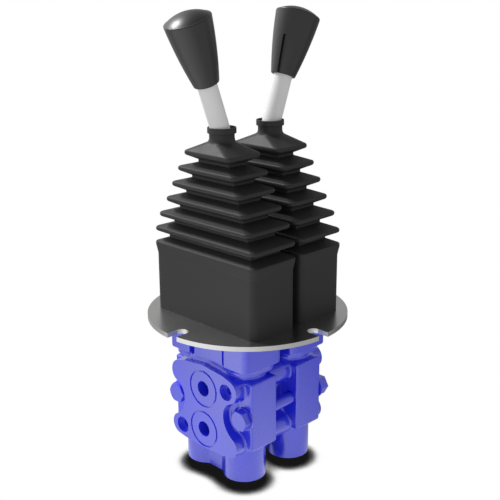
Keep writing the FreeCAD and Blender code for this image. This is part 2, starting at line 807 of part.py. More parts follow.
def knob_insert(side):
    """Threaded sleeve that the knob is moulded around."""
    insert = ring(insert_dia, insert_bore, V(0, 0, knob_seat), ALONG_Z, insert_length)
    return place_on_crank(insert, side)


def place_on_crank(shape, side):
    """Move a shape made at the origin, along Z, to the knob's place on the cranked rod."""
    shape.rotate(V(0, 0, 0), ALONG_Y, side * bend_angle)
    shape.translate(V(section_x(side), 0, bend_z) + crank_direction(side) * knob_start)
    return shape


# Boot frame and boot
def boot_frame(side):
    """Rectangular steel frame that the boot's skirt is pulled over, with two feet screwed to the plate."""
    x = section_x(side)
    half_x = skirt_half_x - boot_wall
    half_y = skirt_half_y - boot_wall
    corner = skirt_corner - boot_wall
    outer = rounded_block(half_x, half_y, corner, plate_top, plate_top + frame_height, x)
    inner = rounded_block(half_x - frame_wall, half_y - frame_wall, corner - frame_wall / 2,
                          plate_top, plate_top + frame_height, x)
    frame = outer.cut(inner)
    for sign in (-1, 1):
        wall = sign * (half_y - frame_wall)
        y0, y1 = sorted((wall - sign * frame_foot_length, wall + sign * frame_wall / 2))
        foot = box(x - frame_foot_width / 2, x + frame_foot_width / 2, y0, y1,
                   plate_top, plate_top + frame_foot_thick)
        frame = frame.fuse(foot)
    for fx, fy in frame_screw_places(side):
        frame = frame.cut(bar(frame_screw_dia, V(fx, fy, plate_top), ALONG_Z, frame_foot_thick))
    return frame.removeSplitter()


def boot_sections():
    """Half width, half length, corner radius and height of each level of the boot's outside."""
    rim = (skirt_half_x + rim_flare, skirt_half_y + rim_flare, rim_z)
    levels = [
        (skirt_half_x, skirt_half_y, skirt_corner, plate_top),
        (skirt_half_x, skirt_half_y, skirt_corner, skirt_top),
        (rim[0], rim[1], skirt_corner, rim_z - rim_band / 2),
        (rim[0], rim[1], skirt_corner, rim_z + rim_band / 2),
    ]
    below = rim
    for place, (side_gap_x, half_length) in enumerate(pleats):
        edge = (section_pitch / 2 - side_gap_x, half_length, first_pleat_z + place * pleat_pitch)
        valley_x = (below[0] + edge[0]) / 2 - valley_inset_x
        valley_y = (below[1] + edge[1]) / 2 - valley_inset_y
        valley_z = (below[2] + edge[2]) / 2
        for half_band in (-valley_band / 2, valley_band / 2):
            levels.append((valley_x, valley_y, valley_corner, valley_z + half_band))
        for half_band in (-pleat_band / 2, pleat_band / 2):
            levels.append((edge[0], edge[1], pleat_corner, edge[2] + half_band))
        below = edge
    return levels


def boot(side):
    """Bellows boot: a skirt over the frame, six pleats, and a round neck with a lip around the rod."""
    x = section_x(side)
    levels = boot_sections()
    neck = (neck_radius, neck_radius, neck_radius * neck_roundness, neck_z)
    outside = [rounded_wire(hx, hy, corner, z, x) for hx, hy, corner, z in levels + [neck]]
    inside = [rounded_wire(hx - boot_wall, hy - boot_wall, max(corner - boot_wall, boot_inner_corner), z, x)
              for hx, hy, corner, z in levels]
    inside.append(rounded_wire(neck_bore, neck_bore, neck_bore * neck_roundness, neck_z, x))
    shell = Part.makeLoft(outside, True, True).cut(Part.makeLoft(inside, True, True))
    lip_foot = lip_top - lip_height
    collar = bar(2 * neck_radius, V(x, 0, neck_z), ALONG_Z, lip_foot - neck_z)
    lip = bar(2 * lip_radius, V(x, 0, lip_foot), ALONG_Z, lip_height)
    tube = collar.fuse(lip).cut(bar(2 * neck_bore, V(x, 0, neck_z), ALONG_Z, lip_top - neck_z))
    tube = tube.cut(bar(2 * lip_bore, V(x, 0, lip_foot), ALONG_Z, lip_height))
    return shell.fuse(tube)


# Tie bolts, nuts and washers
def tie_places():
    return [-tie_y, tie_y]


def tie_bolts():
    bolts = []
    under_head = -slab_face - tie_washer_thick
    far_end = slab_face + tie_washer_thick + tie_nut + tie_end
    for y in tie_places():
        head = hexagon(tie_across, V(under_head - tie_head, y, tie_z), ALONG_X, tie_head)
        cone = Part.makeCone(tie_across / 2, tie_across / 2 + tie_head * math.sqrt(3), tie_head,
                             V(under_head - tie_head, y, tie_z), ALONG_X)
        shank = tip_chamfer(tie_dia, V(under_head, y, tie_z), ALONG_X, far_end - under_head, tie_chamfer)
        bolts.append(head.common(cone).fuse(shank))
    return bolts


def tie_nuts():
    nuts = []
    for y in tie_places():
        start = V(slab_face + tie_washer_thick, y, tie_z)
        nuts.append(hexagon(tie_across, start, ALONG_X, tie_nut).cut(bar(tie_dia, start, ALONG_X, tie_nut)))
    return nuts


def tie_washers():
    washers = []
    for y in tie_places():
        for start in (-slab_face - tie_washer_thick, slab_face):
            washers.append(ring(tie_washer_dia, tie_dia + 2 * loose_gap, V(start, y, tie_z), ALONG_X,
                                tie_washer_thick))
    return washers


# Gallery seals between the sections, and the plugs that close the rear section's outer ports
def gallery_seals():
    outer = gallery_seal_bore + 2 * gallery_seal_wall
    return [ring(outer, gallery_seal_bore, V(-gallery_seal_depth, 0, z), ALONG_X, gallery_seal_depth)
            for z in (tank_z, pressure_z)]


def closing_seals():
    return [ring(closing_seal_dia, port_hole_dia, V(outer_face, 0, z), ALONG_X, closing_seal_thick)
            for z in (tank_z, pressure_z)]


def closing_plugs():
    plugs = []
    under_head = outer_face + closing_seal_thick
    for z in (tank_z, pressure_z):
        plug = bar(closing_plug_dia, V(under_head, 0, z), ALONG_X, closing_plug_head)
        thread = bar(port_hole_dia, V(under_head - closing_plug_thread, 0, z), ALONG_X, closing_plug_thread)
        socket = hexagon(closing_plug_socket, V(under_head, 0, z), ALONG_X, closing_plug_head)
        plugs.append(plug.fuse(thread).cut(socket))
    return plugs


# Pieces of the whole valve
front_casting = valve_body()
rear_casting = turned_half_round(front_casting)
for gallery_z in (tank_z, pressure_z):
    front_casting = front_casting.cut(seal_groove(gallery_z))
save(front_casting, "front_valve_body")
save(rear_casting, "rear_valve_body")
save(mounting_plate(), "mounting_plate")
save(group(tie_bolts()), "tie_bolts")
save(group(tie_nuts()), "tie_bolt_nuts")
save(group(tie_washers()), "tie_bolt_washers")
save(group(gallery_seals()), "gallery_seals")
save(group(closing_plugs()), "closing_plugs")
save(group(closing_seals()), "closing_plug_seals")
save(group(ear_plugs()), "drilling_plugs")
save(group(both_sections(guides)), "plunger_guides")
save(group(both_sections(guide_seals)), "guide_seals")
save(group(both_sections(wipers)), "plunger_wipers")
save(group(both_sections(pivot_pin)), "pivot_pins")
save(group(both_sections(pivot_clips)), "pivot_pin_clips")
save(group(both_sections(bracket_screws)), "bracket_screws")
save(group(both_sections(frame_screws)), "boot_frame_screws")

# Pieces of each section
for side, name in ((-1, "front"), (1, "rear")):
    save(pivot_bracket(side), name + "_pivot_bracket")
    save(boot_frame(side), name + "_boot_frame")
    save(boot(side), name + "_boot")
    save(rocker(side), name + "_rocker")
    save(group(pivot_bushes(side)), name + "_pivot_bushes")
    save(lever_rod(side), name + "_lever_rod")
    save(lock_nut(side), name + "_lock_nut")
    save(knob(side), name + "_knob")
    save(knob_insert(side), name + "_knob_insert")
    for action, px, py in plunger_places(side):
        save(plunger(px, py), name + "_" + action + "_plunger")
        save(spring_seat(px, py), name + "_" + action + "_spring_seat")
        save(spool(px, py), name + "_" + action + "_spool")
        save(return_spring(px, py), name + "_" + action + "_return_spring")
        save(metering_spring(px, py), name + "_" + action + "_metering_spring")
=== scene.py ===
import math

import bmesh
import bpy
import numpy as np
from mathutils import Matrix, Quaternion, Vector


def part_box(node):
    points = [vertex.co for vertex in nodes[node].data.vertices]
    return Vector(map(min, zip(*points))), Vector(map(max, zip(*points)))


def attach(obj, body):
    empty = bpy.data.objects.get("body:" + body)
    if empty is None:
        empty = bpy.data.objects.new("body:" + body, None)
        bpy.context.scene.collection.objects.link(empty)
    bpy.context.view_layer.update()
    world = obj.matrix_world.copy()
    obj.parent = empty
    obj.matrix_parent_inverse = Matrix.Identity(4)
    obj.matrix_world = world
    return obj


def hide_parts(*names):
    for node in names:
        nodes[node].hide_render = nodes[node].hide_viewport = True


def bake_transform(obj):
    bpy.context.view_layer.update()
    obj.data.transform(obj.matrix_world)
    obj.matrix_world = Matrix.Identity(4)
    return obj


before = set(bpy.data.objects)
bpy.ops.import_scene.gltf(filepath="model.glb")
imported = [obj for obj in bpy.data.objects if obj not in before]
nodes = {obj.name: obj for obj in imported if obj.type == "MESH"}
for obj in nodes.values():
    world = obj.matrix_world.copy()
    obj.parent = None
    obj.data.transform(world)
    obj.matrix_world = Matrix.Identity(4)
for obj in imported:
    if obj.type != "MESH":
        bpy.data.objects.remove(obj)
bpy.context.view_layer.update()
sides = {"front": -1, "rear": 1}

# Valve bodies: two castings from one pattern, the rear one turned half round, in blue enamel.
# Their faces on the panel plate, at the ports and between the sections are machined after casting,
# so those edges are crisp, while the rest keeps the pattern's fillets.
cast_stock = 0.003
cast_voxel = 0.0005
cast_rounds = 5
cast_smooth_steps = 5
cast_edge_share = 0.2
cast_flat = math.radians(0.6)
plane_tolerance = 2e-6
flat_weight = 90            # how far large faces lead the shading at their borders
sharp_edge = math.radians(32)
chamfer_edge = math.radians(22)
enamel_colour = (0.030, 0.044, 0.90, 1.0)
enamel_shade = (0.026, 0.038, 0.86, 1.0)


class Wire:
    """A socket in a node tree. Arithmetic on it adds Math nodes, and node() adds any other node."""

    def __init__(self, tree, socket=None):
        self.tree = tree
        self.socket = socket

    def node(self, kind, settings=None, inputs=None, out=0):
        made = self.tree.nodes.new(kind)
        for name, value in (settings or {}).items():
            if name == "stops":
                ramp = made.color_ramp
                while len(ramp.elements) < len(value):
                    ramp.elements.new(1.0)
                for element, (position, colour) in zip(ramp.elements, value):
                    element.position = position
                    element.color = colour
            else:
                setattr(made, name, value)
        for name, value in (inputs or {}).items():
            if isinstance(value, Wire):
                self.tree.links.new(value.socket, made.inputs[name])
            else:
                made.inputs[name].default_value = value
        return Wire(self.tree, made.outputs[out] if len(made.outputs) else None)

    def math(self, operation, first, second):
        return self.node("ShaderNodeMath", {"operation": operation}, {0: first, 1: second})

    def __add__(self, other):
        return self.math("ADD", self, other)

    def __sub__(self, other):
        return self.math("SUBTRACT", self, other)

    def __rsub__(self, other):
        return self.math("SUBTRACT", other, self)

    def __mul__(self, other):
        return self.math("MULTIPLY", self, other)

    __radd__ = __add__
    __rmul__ = __mul__


def new_finish(name):
    """A material without nodes, and the wire that starts its tree."""
    material = bpy.data.materials.new(name)
    material.use_nodes = True
    material.node_tree.nodes.clear()
    return material, Wire(material.node_tree)


def surface(start, **sockets):
    """Close a material with a Principled shader. Names are its sockets, with underscores for spaces."""
    inputs = {name.replace("_", " "): value for name, value in sockets.items()}
    shader = start.node("ShaderNodeBsdfPrincipled", inputs=inputs)
    start.node("ShaderNodeOutputMaterial", inputs={"Surface": shader})


def mottled(start, scale, light, dark, detail=3.0):
    """A colour that wanders between two shades over the surface, and the noise behind it."""
    place = start.node("ShaderNodeTexCoord", out="Object")
    noise = start.node("ShaderNodeTexNoise", inputs={"Vector": place, "Scale": scale, "Detail": detail})
    mix = {"data_type": "RGBA"}
    return start.node("ShaderNodeMix", mix, {0: noise, 6: dark, 7: light}, out=2), noise


def bumped(start, scale, strength, distance, detail=2.0):
    """A normal with a fine grain."""
    place = start.node("ShaderNodeTexCoord", out="Object")
    noise = start.node("ShaderNodeTexNoise", inputs={"Vector": place, "Scale": scale, "Detail": detail})
    return start.node("ShaderNodeBump", inputs={"Strength": strength, "Distance": distance, "Height": noise})


def linked(name, data):
    """A new object in the scene."""
    made = bpy.data.objects.new(name, data)
    bpy.context.scene.collection.objects.link(made)
    return made


def coated(mesh, material, edge=sharp_edge):
    """Give a mesh its material and smooth shading between its sharp edges."""
    mesh.materials.clear()
    mesh.materials.append(material)
    mesh.shade_smooth()
    mesh.set_sharp_from_angle(angle=edge)


def dress(node_name, material, edge=sharp_edge):
    coated(nodes[node_name].data, material, edge)


def new_piece(name, mesh, material):
    coated(mesh, material)
    return linked(name, mesh)


def bare_form(mesh):
    """A mesh's points and faces alone, without the normals that came with it."""
    bare = bpy.data.meshes.new("bare")
    bare.from_pydata([v.co for v in mesh.vertices], [], [tuple(face.vertices) for face in mesh.polygons])
    form = bmesh.new()
    form.from_mesh(bare)
    bpy.data.meshes.remove(bare)
    return form


def machined_planes(node_name):
    """The planes that a casting is machined to, as an axis, a level and the way out."""
    low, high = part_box(node_name)
    return [(0, low.x, -1), (0, high.x, 1), (2, low.z, -1), (2, high.z, 1)]


def lies_in(item, axis, level):
    """Whether all points of an edge or a face lie in a plane."""
    return all(abs(v.co[axis] - level) < plane_tolerance for v in item.verts)


def machined_faces(form, planes):
    return [face for face in form.faces if any(lies_in(face, axis, level) for axis, level, _ in planes)]


def casting_shells(node_name):
    """A casting's surface without its machined faces: the outer skin, and the bores as a second mesh."""
    shells = []
    planes = machined_planes(node_name)
    for wanted in ("skin", "bores"):
        form = bare_form(nodes[node_name].data)
        bmesh.ops.remove_doubles(form, verts=form.verts, dist=plane_tolerance)
        bmesh.ops.delete(form, geom=machined_faces(form, planes), context="FACES")
        skin = widest_island(form)
        unwanted = [face for face in form.faces if (face.index in skin) != (wanted == "skin")]
        bmesh.ops.delete(form, geom=unwanted, context="FACES")
        for axis, level, way in planes:
            rim = [edge for edge in form.edges if edge.is_boundary and lies_in(edge, axis, level)]
            for vertex in {v for edge in rim for v in edge.verts}:
                vertex.co[axis] += way * cast_stock
            bmesh.ops.triangle_fill(form, edges=rim, use_beauty=False)
        bmesh.ops.recalc_face_normals(form, faces=form.faces)
        mesh = bpy.data.meshes.new(wanted)
        form.to_mesh(mesh)
        form.free()
        shells.append(mesh)
    return shells


def widest_island(form):
    """Face numbers of the connected piece of surface that spans the largest box."""
    form.faces.index_update()
    seen = set()
    best = (0.0, set())
    for first in form.faces:
        if first.index in seen:
            continue
        island = {first.index}
        queue = [first]
        points = []
        while queue:
            face = queue.pop()
            points.extend(v.co for v in face.verts)
            for edge in face.edges:
                for other in edge.link_faces:
                    if other.index not in island:
                        island.add(other.index)
                        queue.append(other)
        seen |= island
        corners = np.array(points)
        span = float(np.linalg.norm(corners.max(0) - corners.min(0)))
        if span > best[0]:
            best = (span, island)
    return best[1]


def applied(piece, kind, **settings):
    """Replace an object's mesh by what one modifier makes of it."""
    modifier = piece.modifiers.new(kind.lower(), kind)
    for name, value in settings.items():
        setattr(modifier, name, value)
    shapes = bpy.context.evaluated_depsgraph_get()
    piece.data = bpy.data.meshes.new_from_object(piece.evaluated_get(shapes))
    piece.modifiers.clear()


def points_of(mesh):
    points = np.empty(len(mesh.vertices) * 3, np.float32)
    mesh.vertices.foreach_get("co", points)
    return points.reshape(-1, 3)


def cast_blank(mesh):
    """Skin with the pattern's fillets: inner corners fill up more than outer edges are rounded."""
    blank = linked("blank", mesh)
    applied(blank, "REMESH", mode="VOXEL", voxel_size=cast_voxel)
    for _ in range(cast_rounds):
        before = points_of(blank.data)
        normals = np.empty(len(blank.data.vertices) * 3, np.float32)
        blank.data.vertices.foreach_get("normal", normals)
        normals = normals.reshape(-1, 3)
        applied(blank, "SMOOTH", factor=0.5, iterations=cast_smooth_steps)
        move = points_of(blank.data) - before
        out = (move * normals).sum(1, keepdims=True)
        share = np.where(out < 0, cast_edge_share, 1.0)
        after = before + move + normals * out * (share - 1)
        blank.data.vertices.foreach_set("co", after.astype(np.float32).ravel())
        blank.data.update()
    applied(blank, "DECIMATE", decimate_type="DISSOLVE", angle_limit=cast_flat)
    return blank


def machine(blank, node_name, bores):
    """Trim a blank to its machined planes and cut its bores."""
    form = bmesh.new()
    form.from_mesh(blank.data)
    for axis, level, way in machined_planes(node_name):
        place = Vector((0, 0, 0))
        normal = Vector((0, 0, 0))
        place[axis] = level
        normal[axis] = way
        cut = bmesh.ops.bisect_plane(form, geom=form.verts[:] + form.edges[:] + form.faces[:],
                                     plane_co=place, plane_no=normal, clear_outer=True)
        rim = [item for item in cut["geom_cut"] if isinstance(item, bmesh.types.BMEdge)]
        bmesh.ops.triangle_fill(form, edges=rim, use_beauty=False)
    bmesh.ops.recalc_face_normals(form, faces=form.faces)
    form.to_mesh(blank.data)
    form.free()
    cutter = linked("cutter", bores)
    applied(blank, "BOOLEAN", operation="DIFFERENCE", solver="MANIFOLD", object=cutter)
    bpy.data.objects.remove(cutter)


def crisp_planes(mesh, node_name):
    """Keep the shading flat up to the border of every machined face."""
    form = bmesh.new()
    form.from_mesh(mesh)
    flat = set(machined_faces(form, machined_planes(node_name)))
    for edge in form.edges:
        if len(edge.link_faces) == 2 and (edge.link_faces[0] in flat) != (edge.link_faces[1] in flat):
            edge.smooth = False
    form.to_mesh(mesh)
    form.free()


enamel, paint = new_finish("blue_enamel_on_casting")
paint_colour, paint_noise = mottled(paint, 60.0, enamel_colour, enamel_shade)
surface(paint, Base_Color=paint_colour, Roughness=0.22 + 0.10 * paint_noise, Specular_IOR_Level=1.0,
        Coat_Weight=1.0, Coat_Roughness=0.08, Normal=bumped(paint, 700.0, 0.012, 0.0003))

front_skin, front_bores = casting_shells("front_valve_body")
pattern = cast_blank(front_skin)
half_turn = Matrix.Rotation(math.pi, 4, "Z")
for side in sides:
    node_name = side + "_valve_body"
    casting = linked(side + "_casting", pattern.data.copy())
    if side == "rear":
        casting.data.transform(half_turn)
    machine(casting, node_name, casting_shells(node_name)[1])
    body_mesh = casting.data
    bpy.data.objects.remove(casting)
    casting = new_piece(side + "_casting", body_mesh, enamel)
    crisp_planes(casting.data, node_name)
    applied(casting, "WEIGHTED_NORMAL", keep_sharp=True, weight=flat_weight)
    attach(casting, "root")
    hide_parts(node_name)
bpy.data.objects.remove(pattern)

# Guides, plungers, spools and pins: ground and turned steel parts, bright from the grinder.
# They work inside the castings and under the boots, in oil or grease.
ground, grinding = new_finish("ground_steel")
ground_colour, ground_noise = mottled(grinding, 400.0, (0.66, 0.66, 0.67, 1.0), (0.56, 0.56, 0.57, 1.0))
surface(grinding, Base_Color=ground_colour, Metallic=1.0, Roughness=0.22 + 0.16 * ground_noise)
for node_name in ["plunger_guides", "pivot_pins", "pivot_pin_clips"]:
    dress(node_name, ground)
for side in sides:
    for action in ("push", "pull"):
        for part in ("plunger", "spring_seat", "spool"):
            dress(side + "_" + action + "_" + part, ground)
    dress(side + "_rocker", ground)
    dress(side + "_lock_nut", ground)

# Springs: a return spring around each spool and a metering spring on it, of drawn wire, which keeps
# fine marks of the drawing die and a dark temper film. Each coil stands in for its CAD node.
wire_steel, drawing = new_finish("drawn_spring_wire")
wire_colour, wire_noise = mottled(drawing, 900.0, (0.46, 0.45, 0.44, 1.0), (0.30, 0.30, 0.31, 1.0))
surface(drawing, Base_Color=wire_colour, Metallic=1.0, Roughness=0.30 + 0.20 * wire_noise)


def coil(name):
    """A spring copied from its CAD node in the drawn wire finish, standing in for the node."""
    node_name = name + "_spring"
    piece = new_piece(name + "_coil", nodes[node_name].data.copy(), wire_steel)
    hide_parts(node_name)
    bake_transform(piece)


for side in sides:
    for action in ("push", "pull"):
        coil(side + "_" + action + "_return")
        coil(side + "_" + action + "_metering")

# Seals and wipers: moulded nitrile rings in their grooves, black with a faint oily sheen.
# They show only when the valve is taken apart.
nitrile, ring_rubber = new_finish("nitrile_rubber")
nitrile_colour, nitrile_noise = mottled(ring_rubber, 500.0, (0.030, 0.030, 0.031, 1.0),
                                        (0.018, 0.018, 0.019, 1.0))
surface(ring_rubber, Base_Color=nitrile_colour, Roughness=0.45 + 0.2 * nitrile_noise)
for node_name in ["gallery_seals", "guide_seals", "plunger_wipers", "closing_plug_seals"]:
    dress(node_name, nitrile)

# Tie bolts, nuts, washers and plugs: steel fasteners that clamp the two castings or close drillings.
# They were painted with the castings, so they carry the same enamel over turned and cold-headed steel.
fastener_paint, coat = new_finish("blue_enamel_on_steel")
coat_colour, coat_noise = mottled(coat, 150.0, enamel_colour, enamel_shade)
surface(coat, Base_Color=coat_colour, Roughness=0.24 + 0.10 * coat_noise, Specular_IOR_Level=1.0,
        Coat_Weight=1.0, Coat_Roughness=0.15)
for node_name in ["tie_bolts", "tie_bolt_nuts", "tie_bolt_washers", "closing_plugs", "drilling_plugs"]:
    dress(node_name, fastener_paint, chamfer_edge)

# Panel plate, pivot brackets and boot frames: laser-cut and folded sheet steel, zinc plated.
# The plate's faces keep a faint rolled grain under the plating.
zinc, plating = new_finish("zinc_plated_sheet")
sheet_place = plating.node("ShaderNodeTexCoord", out="Object")
along = plating.node("ShaderNodeMapping", inputs={"Vector": sheet_place, "Scale": (1.0, 40.0, 1.0)})
rolled = plating.node("ShaderNodeTexNoise", inputs={"Vector": along, "Scale": 60.0, "Detail": 4.0})
sheet_colour, sheet_noise = mottled(plating, 35.0, (0.56, 0.56, 0.55, 1.0), (0.50, 0.50, 0.50, 1.0))
surface(plating, Base_Color=sheet_colour, Metallic=1.0, Roughness=0.22 + 0.10 * rolled + 0.06 * sheet_noise)
dress("mounting_plate", zinc)
for side in sides:
    dress(side + "_pivot_bracket", zinc)
    dress(side + "_boot_frame", zinc)

# Cap screws: blackened steel, for the pivot brackets and the boot frames.
black_oxide, blackening = new_finish("black_oxide_steel")
oxide_colour, oxide_noise = mottled(blackening, 600.0, (0.055, 0.055, 0.058, 1.0), (0.030, 0.030, 0.032, 1.0))
surface(blackening, Base_Color=oxide_colour, Metallic=0.7, Roughness=0.35 + 0.2 * oxide_noise)
dress("bracket_screws", black_oxide)
dress("boot_frame_screws", black_oxide)

# Bushes and knob inserts: turned bronze, pressed into the rockers and moulded into the knobs.
bronze, turning = new_finish("turned_bronze")
bronze_colour, bronze_noise = mottled(turning, 500.0, (0.72, 0.50, 0.26, 1.0), (0.58, 0.39, 0.20, 1.0))
surface(turning, Base_Color=bronze_colour, Metallic=1.0, Roughness=0.25 + 0.15 * bronze_noise)
for side in sides:
    dress(side + "_pivot_bushes", bronze)
    dress(side + "_knob_insert", bronze)

# Lever rods: round steel, bent once outwards, with a satin light grey finish.
# The finish runs lengthwise in very fine lines and stops at the knob's foot.
satin, rod_finish = new_finish("satin_rod_finish")
rod_place = rod_finish.node("ShaderNodeTexCoord", out="Object")
lengthwise = rod_finish.node("ShaderNodeMapping", inputs={"Vector": rod_place, "Scale": (30.0, 30.0, 1.0)})
lines = rod_finish.node("ShaderNodeTexNoise", inputs={"Vector": lengthwise, "Scale": 40.0, "Detail": 2.0})
rod_colour, rod_noise = mottled(rod_finish, 90.0, (0.82, 0.82, 0.82, 1.0), (0.78, 0.78, 0.78, 1.0))
surface(rod_finish, Base_Color=rod_colour, Metallic=0.05, Roughness=0.55 + 0.10 * lines,
        Specular_IOR_Level=0.3)
for side in sides:
    dress(side + "_lever_rod", satin)

# Boots: moulded black rubber bellows, one around each lever, pulled over the boot frame at the foot.
# Six pleats taper to a cone with a round neck, and a thin lip stands open around the rod. The valleys
# have sharp corners, from which each slope's corner fans out to the round corner of the pleat's edge.
section_half = 0.021
boot_wall = 0.0016
skirt_corner = 0.0045
skirt_top = 0.0405
rim_gap = 0.0019
rim_flare = 0.0009
rim_low, rim_high = 0.0462, 0.0482
pleat_corner = 0.0044
pleat_band = 0.0021
valley_band = 0.0016
low_valley_inset = (0.0063, 0.0086)
valley_inset = (0.0075, 0.0098)
pleat_gaps = (0.0021, 0.0020, 0.0037, 0.0046, 0.0056, 0.0067)
pleat_halves = (0.0452, 0.0407, 0.0356, 0.0309, 0.0260, 0.0209)
first_pleat = 0.0568
last_pleat = 0.1083
valley_corner = 0.0005
inner_corner = 0.0005
neck_radius = 0.00775
neck_foot = 0.1156
neck_bore = 0.0068
lip_foot = 0.1206
lip_radius = 0.00885
lip_bore = 0.0082
edge_round = 0.0010
rim_round = 0.0005
valley_round = 0.0003
neck_round = 0.003
support = 0.00012           # flat strip beside each rounding
widest_reach = 0.46         # of a rounding, as a share of the slopes beside it
curve_steps = 5
corner_steps = 9
side_shares = (0.35, 0.65)
round_corner = (12, 78)     # part of a quarter turn that the corner points fill in a round level, in degrees


def square_ring(half_x, half_y, corner, z):
    """One level of a boot: a rectangle with rounded corners."""
    arcs = []
    for quarter, (sx, sy) in enumerate([(1, 1), (-1, 1), (-1, -1), (1, -1)]):
        centre = np.array((sx * (half_x - corner), sy * (half_y - corner), z))
        turn = np.radians(90 * quarter + np.linspace(0, 90, corner_steps + 1))
        arcs.append(centre + corner * np.stack((np.cos(turn), np.sin(turn), 0 * turn), axis=1))
    ring = []
    for arc, following in zip(arcs, arcs[1:] + arcs[:1]):
        run = following[0] - arc[-1]
        near = support / np.linalg.norm(run)
        ring.extend(arc)
        ring.extend(arc[-1] + run * share for share in (near, *side_shares, 1 - near))
    return np.array(ring)


def round_ring(radius, z):
    """A round level with as many points, most of them at the corners."""
    turn = []
    for quarter in range(4):
        start, finish = round_corner
        turn.extend(90 * quarter + np.linspace(start, finish, corner_steps + 1))
        turn.extend(90 * quarter + np.linspace(finish, start + 90, len(side_shares) + 4)[1:-1])
    turn = np.radians(turn)
    return np.stack((radius * np.cos(turn), radius * np.sin(turn), 0 * turn + z), axis=1)


def boot_levels():
    """Outer profile of the boot's square part: half width, half length, corner, height and rounding."""
    half_x = section_half - rim_gap - rim_flare
    half_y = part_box("front_boot_frame")[1].y + boot_wall
    rim_x, rim_y = half_x + rim_flare, half_y + rim_flare
    levels = [
        (half_x, half_y, skirt_corner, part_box("front_boot")[0].z, 0),
        (half_x, half_y, skirt_corner, skirt_top, valley_round),
        (rim_x, rim_y, skirt_corner, rim_low, rim_round),
        (rim_x, rim_y, skirt_corner, rim_high, rim_round),
    ]
    below = np.array((rim_x, rim_y, (rim_low + rim_high) / 2))
    rises = np.linspace(first_pleat, last_pleat, len(pleat_gaps))
    for gap, half_length, z in zip(pleat_gaps, pleat_halves, rises):
        edge = np.array((section_half - gap, half_length, z))
        valley = (below + edge) / 2 - (*(low_valley_inset if z == first_pleat else valley_inset), 0)
        valley_low, valley_high = valley - (0, 0, valley_band / 2), valley + (0, 0, valley_band / 2)
        edge_low, edge_high = edge - (0, 0, pleat_band / 2), edge + (0, 0, pleat_band / 2)
        levels.append((valley_low[0], valley_low[1], valley_corner, valley_low[2], valley_round))
        levels.append((valley_high[0], valley_high[1], valley_corner, valley_high[2], valley_round))
        levels.append((edge_low[0], edge_low[1], pleat_corner, edge_low[2], edge_round))
        levels.append((edge_high[0], edge_high[1], pleat_corner, edge_high[2], edge_round))
        below = edge
    return levels


def rounded_profile(levels):
    """Rings with each rounded one replaced by a short curve between two supports."""
    made = [levels[0][0]]
    for (before, _), (corner, size), (after, _) in zip(levels, levels[1:], levels[2:]):
        if size == 0:
            made.append(corner)
            continue
        back, ahead = before - corner, after - corner
        back_length, ahead_length = [np.linalg.norm(way, axis=1).mean() for way in (back, ahead)]
        reach = min(size, widest_reach * back_length, widest_reach * ahead_length)
        start = corner + back * (reach / back_length)
        finish = corner + ahead * (reach / ahead_length)
        made.append(corner + back * ((reach + support) / back_length))
        for t in np.linspace(0, 1, curve_steps):
            made.append(start * (1 - t) ** 2 + corner * 2 * t * (1 - t) + finish * t ** 2)
        made.append(corner + ahead * ((reach + support) / ahead_length))
    made.append(levels[-1][0])
    return made


def boot_mesh(name, centre_x):
    """Closed skin through the levels, outside from foot to lip and inside back down."""
    square = boot_levels()
    lip_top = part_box("front_boot")[1].z
    rings = [(square_ring(*level[:4]), level[4]) for level in square]
    rings += [(round_ring(radius, z), size) for radius, z, size in [
        (neck_radius, neck_foot, neck_round), (neck_radius, lip_foot, valley_round),
        (lip_radius, lip_foot + support, valley_round), (lip_radius, lip_top, valley_round),
        (lip_bore, lip_top, 0), (lip_bore, lip_foot, 0), (neck_bore, lip_foot, 0), (neck_bore, neck_foot, 0)]]
    for half_x, half_y, corner, z, _ in reversed(square):
        inside_x = max(half_x - boot_wall, neck_bore)
        inside_corner = max(corner - boot_wall, inner_corner)
        rings.append((square_ring(inside_x, half_y - boot_wall, inside_corner, z), 0))
    rings = rounded_profile(rings)
    count = len(rings[0])
    points = [tuple(point) for point in np.concatenate(rings) + (centre_x, 0, 0)]
    faces = []
    for row in range(len(rings)):
        below = row * count
        above = ((row + 1) % len(rings)) * count
        for column in range(count):
            following = (column + 1) % count
            faces.append((below + column, below + following, above + following, above + column))
    mesh = bpy.data.meshes.new(name)
    mesh.from_pydata(points, [], faces)
    mesh.update()
    return mesh


boot_rubber, moulding = new_finish("moulded_boot_rubber")
rubber_colour, rubber_noise = mottled(moulding, 120.0, (0.032, 0.032, 0.0325, 1.0),
                                      (0.028, 0.028, 0.0285, 1.0))
surface(moulding, Base_Color=rubber_colour, Roughness=0.44 + 0.12 * rubber_noise, Specular_IOR_Level=0.25,
        Normal=bumped(moulding, 2500.0, 0.10, 0.0002))
for side, sign in sides.items():
    boot = new_piece(side + "_bellows", boot_mesh(side + "_bellows", sign * section_half), boot_rubber)
    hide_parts(side + "_boot")
    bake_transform(boot)

# Knobs: barrel-shaped grips of charcoal phenolic, moulded around a threaded insert.
# The grip has a satin finish, and a narrow slot runs up the inner side.
phenolic, grip = new_finish("charcoal_phenolic")
grip_colour, grip_noise = mottled(grip, 80.0, (0.021, 0.021, 0.0215, 1.0), (0.018, 0.018, 0.0185, 1.0))
surface(grip, Base_Color=grip_colour, Roughness=0.31 + 0.06 * grip_noise, Specular_IOR_Level=0.5)
for side in sides:
    dress(side + "_knob", phenolic)
